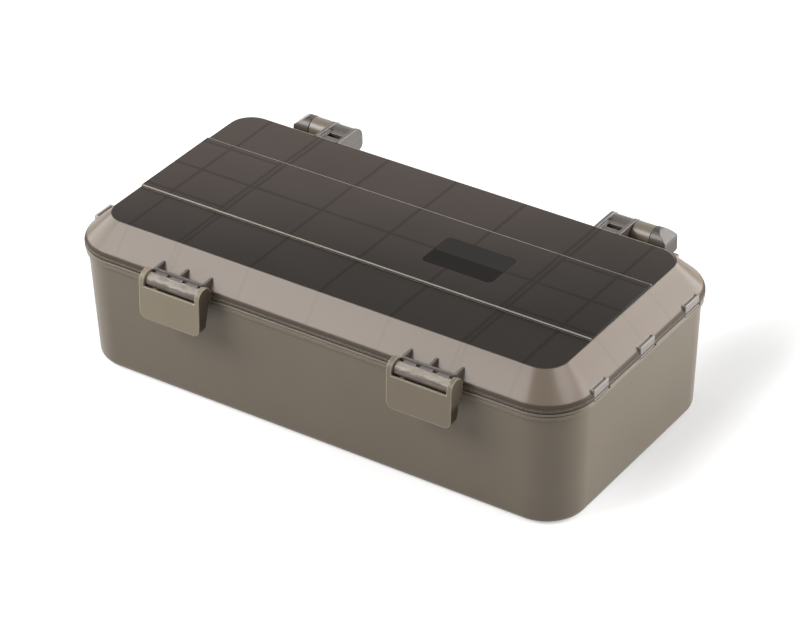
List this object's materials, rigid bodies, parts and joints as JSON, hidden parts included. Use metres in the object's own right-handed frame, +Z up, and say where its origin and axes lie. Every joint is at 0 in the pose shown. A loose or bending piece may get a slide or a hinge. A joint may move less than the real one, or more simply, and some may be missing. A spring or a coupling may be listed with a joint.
{
  "type": "fishing tackle box",
  "caption": "Small fishing tackle box: drafted rectangular tub, hinged lid with sloping edges, snap latches and lift-out compartment trays.",
  "frame": {"origin": "middle of the tub's flat underside", "axes": "+X along the length, to the right as the latches are faced; -Y towards the latches; +Z up"},
  "size_m": [0.29, 0.1667, 0.083],
  "materials": {
    "tub_plastic": "satin moulded olive brown, slightly see-through",
    "lid_plastic": "glossy smoke-tinted moulding",
    "label": "glossy blank plate",
    "latch_plastic": "satin moulded olive brown",
    "tray_plastic": "satin dark smoke moulding",
    "divider_plastic": "satin dark smoke sheet",
    "pin_steel": "plain drawn wire"
  },
  "bodies": {
    "tub": {"tub": "tub_plastic", "tray_left": "tray_plastic", "tray_centre": "tray_plastic", "tray_right": "tray_plastic", "divider_left_inner_front": "divider_plastic", "divider_left_inner_middle": "divider_plastic", "divider_left_inner_rear": "divider_plastic", "divider_left_outer_front": "divider_plastic", "divider_left_outer_middle": "divider_plastic", "divider_left_outer_rear": "divider_plastic", "divider_right_inner_front": "divider_plastic", "divider_right_inner_middle": "divider_plastic", "divider_right_inner_rear": "divider_plastic", "divider_right_outer_front": "divider_plastic", "divider_right_outer_middle": "divider_plastic", "divider_right_outer_rear": "divider_plastic", "divider_centre_front_left": "divider_plastic", "divider_centre_front_middle": "divider_plastic", "divider_centre_front_right": "divider_plastic", "divider_centre_rear_left": "divider_plastic", "divider_centre_rear_middle": "divider_plastic", "divider_centre_rear_right": "divider_plastic"},
    "lid": {"lid": "lid_plastic", "label_plate": "label", "hinge_pin_left": "pin_steel", "hinge_pin_right": "pin_steel"},
    "latch_left": {"latch_left": "latch_plastic"},
    "latch_right": {"latch_right": "latch_plastic"}
  },
  "joints": [
    {"name": "lid_hinge", "type": "hinge", "parent": "tub", "child": "lid", "pos_m": [0, 0.0754, 0.07545], "axis": [-1, 0, 0], "range_deg": [0, 110]},
    {"name": "latch_left_hinge", "type": "hinge", "parent": "lid", "child": "latch_left", "pos_m": [-0.072, -0.0791, 0.0695], "axis": [-1, 0, 0], "range_deg": [0, 110]},
    {"name": "latch_right_hinge", "type": "hinge", "parent": "lid", "child": "latch_right", "pos_m": [0.072, -0.0791, 0.0695], "axis": [-1, 0, 0], "range_deg": [0, 110]}
  ]
}
